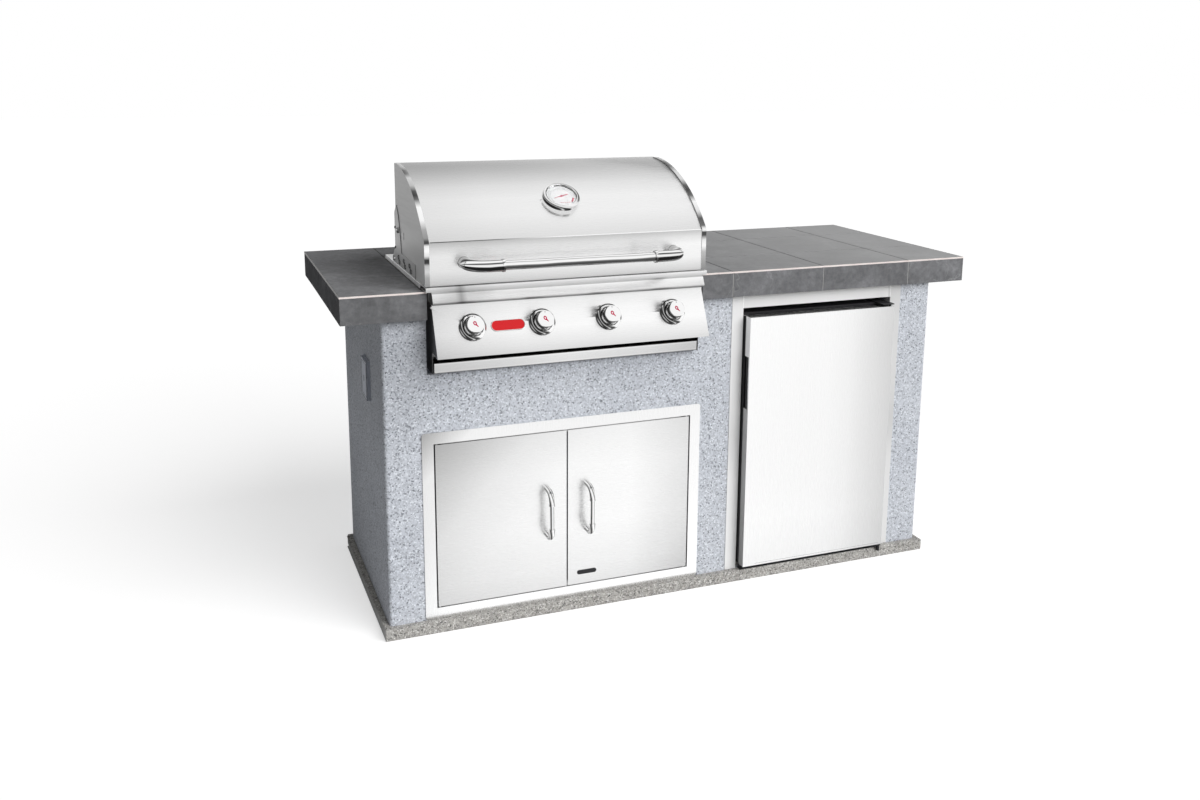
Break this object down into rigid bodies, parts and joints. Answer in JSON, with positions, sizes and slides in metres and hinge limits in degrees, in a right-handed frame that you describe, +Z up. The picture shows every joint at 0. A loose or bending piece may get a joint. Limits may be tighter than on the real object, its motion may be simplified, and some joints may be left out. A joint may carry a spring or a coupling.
{
  "type": "outdoor kitchen island",
  "caption": "Stucco outdoor kitchen island with tiled worktop, hooded built-in gas grill, double storage doors and a compact refrigerator.",
  "frame": {"origin": "on the floor at the middle of the stucco base's footprint", "axes": "+X to the cook's right along the counter, +Y from the cook's side to the back, +Z up"},
  "size_m": [1.95, 0.8636, 1.286],
  "materials": {
    "stucco": "light blue-grey speckled stucco",
    "plinth": "warm grey speckled base strip",
    "board": "bare cement board",
    "steel_tube": "primed welded tube",
    "tile": "dark grey mottled porcelain tile",
    "tile_trim": "pale edge trim",
    "grout": "dark grout",
    "stainless": "brushed stainless sheet",
    "stainless_dark": "shaded stainless sheet",
    "chrome": "polished",
    "cast_iron": "cast and seasoned",
    "black_metal": "black enamel",
    "black_plastic": "black moulding",
    "white_plastic": "white liner",
    "gasket": "dark magnetic gasket",
    "brass": "gas fittings",
    "glass": "clear",
    "red_paint": "red needle",
    "lid_plastic": "blue-grey cover"
  },
  "bodies": {
    "root": {"front_wall": "stucco", "left_wall": "stucco", "right_wall": "stucco", "rear_wall": "stucco", "plinth_strips": "plinth", "floor_panel": "board", "bay_divider": "board", "steel_frame": "steel_tube", "counter_board": "board", "top_tiles": "tile", "edge_tiles": "tile", "edge_trim": "tile_trim", "grout": "grout", "outlet_box": "black_plastic", "outlet_plate": "lid_plastic", "door_frame": "stainless", "fridge_frame": "stainless", "fridge_cabinet": "black_metal", "fridge_liner": "white_plastic", "fridge_shelves": "white_plastic", "compressor": "black_metal", "fridge_hinges": "black_metal", "firebox": "stainless_dark", "trim_rails": "stainless", "front_ledge": "stainless", "side_ears": "stainless", "control_panel": "stainless", "panel_cheeks": "stainless_dark", "knob_bezels": "chrome", "gas_manifold": "brass", "burners": "cast_iron", "flame_tamers": "stainless_dark", "cooking_grates": "stainless_dark"},
    "outlet_cover": {"outlet_lid": "lid_plastic"},
    "storage_door_left": {"door_left": "stainless", "door_handle_left": "chrome"},
    "storage_door_right": {"door_right": "stainless", "door_handle_right": "chrome"},
    "fridge_door": {"fridge_door_skin": "stainless", "fridge_door_liner": "white_plastic", "fridge_door_grip": "black_plastic", "fridge_gasket": "gasket"},
    "thermostat": {"thermostat_dial": "white_plastic"},
    "grease_tray": {"drip_tray": "stainless"},
    "hood": {"hood_apron": "stainless", "hood_arch": "stainless", "hood_liner": "stainless_dark", "hood_sides": "stainless", "hood_handle": "chrome", "thermometer_case": "chrome", "thermometer_glass": "glass"},
    "gauge_needle": {"thermometer_needle": "red_paint"},
    "stem_1": {"valve_stem_1": "brass"},
    "control_knob_1": {"knob_1": "chrome"},
    "stem_2": {"valve_stem_2": "brass"},
    "control_knob_2": {"knob_2": "chrome"},
    "stem_3": {"valve_stem_3": "brass"},
    "control_knob_3": {"knob_3": "chrome"},
    "stem_4": {"valve_stem_4": "brass"},
    "control_knob_4": {"knob_4": "chrome"}
  },
  "joints": [
    {"name": "hood_lift", "type": "hinge", "parent": "root", "child": "hood", "pos_m": [-0.3445, -0.002, 1.094], "axis": [-1, 0, 0], "range_deg": [0, 82]},
    {"name": "storage_door_left_swing", "type": "hinge", "parent": "root", "child": "storage_door_left", "pos_m": [-0.7247, -0.323, 0.3], "axis": [0, 0, -1], "range_deg": [0, 100]},
    {"name": "storage_door_right_swing", "type": "hinge", "parent": "root", "child": "storage_door_right", "pos_m": [0.0269, -0.323, 0.3], "axis": [0, 0, 1], "range_deg": [0, 100]},
    {"name": "fridge_door_swing", "type": "hinge", "parent": "root", "child": "fridge_door", "pos_m": [0.702, -0.357, 0.45], "axis": [0, 0, 1], "range_deg": [0, 110]},
    {"name": "thermostat_turn", "type": "hinge", "parent": "root", "child": "thermostat", "pos_m": [0.655, -0.197, 0.776], "axis": [-1, 0, 0], "range_deg": [0, 270]},
    {"name": "tray_slide", "type": "slide", "parent": "root", "child": "grease_tray", "axis": [0, -1, 0], "range_m": [0, 0.3]},
    {"name": "gauge_needle_turn", "type": "hinge", "parent": "hood", "child": "gauge_needle", "pos_m": [-0.3445, -0.25755, 1.1964], "axis": [0, 0.5736, -0.8192], "range_deg": [0, 250]},
    {"name": "outlet_lid_swing", "type": "hinge", "parent": "root", "child": "outlet_cover", "pos_m": [-0.8728, -0.053, 0.6887], "axis": [0, 0, -1], "range_deg": [0, 90]},
    {"name": "knob_push_1", "type": "slide", "parent": "root", "child": "stem_1", "axis": [0, 0.9041, -0.4274], "range_m": [0, 0.004], "stiffness_N_per_m": 600, "springref_m": -0.006},
    {"name": "knob_turn_1", "type": "hinge", "parent": "stem_1", "child": "control_knob_1", "pos_m": [-0.63475, -0.3863, 0.88181], "axis": [0, -0.9041, 0.4274], "range_deg": [0, 180]},
    {"name": "knob_push_2", "type": "slide", "parent": "root", "child": "stem_2", "axis": [0, 0.9041, -0.4274], "range_m": [0, 0.004], "stiffness_N_per_m": 600, "springref_m": -0.006},
    {"name": "knob_turn_2", "type": "hinge", "parent": "stem_2", "child": "control_knob_2", "pos_m": [-0.44125, -0.3863, 0.88181], "axis": [0, -0.9041, 0.4274], "range_deg": [0, 180]},
    {"name": "knob_push_3", "type": "slide", "parent": "root", "child": "stem_3", "axis": [0, 0.9041, -0.4274], "range_m": [0, 0.004], "stiffness_N_per_m": 600, "springref_m": -0.006},
    {"name": "knob_turn_3", "type": "hinge", "parent": "stem_3", "child": "control_knob_3", "pos_m": [-0.24775, -0.3863, 0.88181], "axis": [0, -0.9041, 0.4274], "range_deg": [0, 180]},
    {"name": "knob_push_4", "type": "slide", "parent": "root", "child": "stem_4", "axis": [0, 0.9041, -0.4274], "range_m": [0, 0.004], "stiffness_N_per_m": 600, "springref_m": -0.006},
    {"name": "knob_turn_4", "type": "hinge", "parent": "stem_4", "child": "control_knob_4", "pos_m": [-0.05425, -0.3863, 0.88181], "axis": [0, -0.9041, 0.4274], "range_deg": [0, 180]}
  ]
}
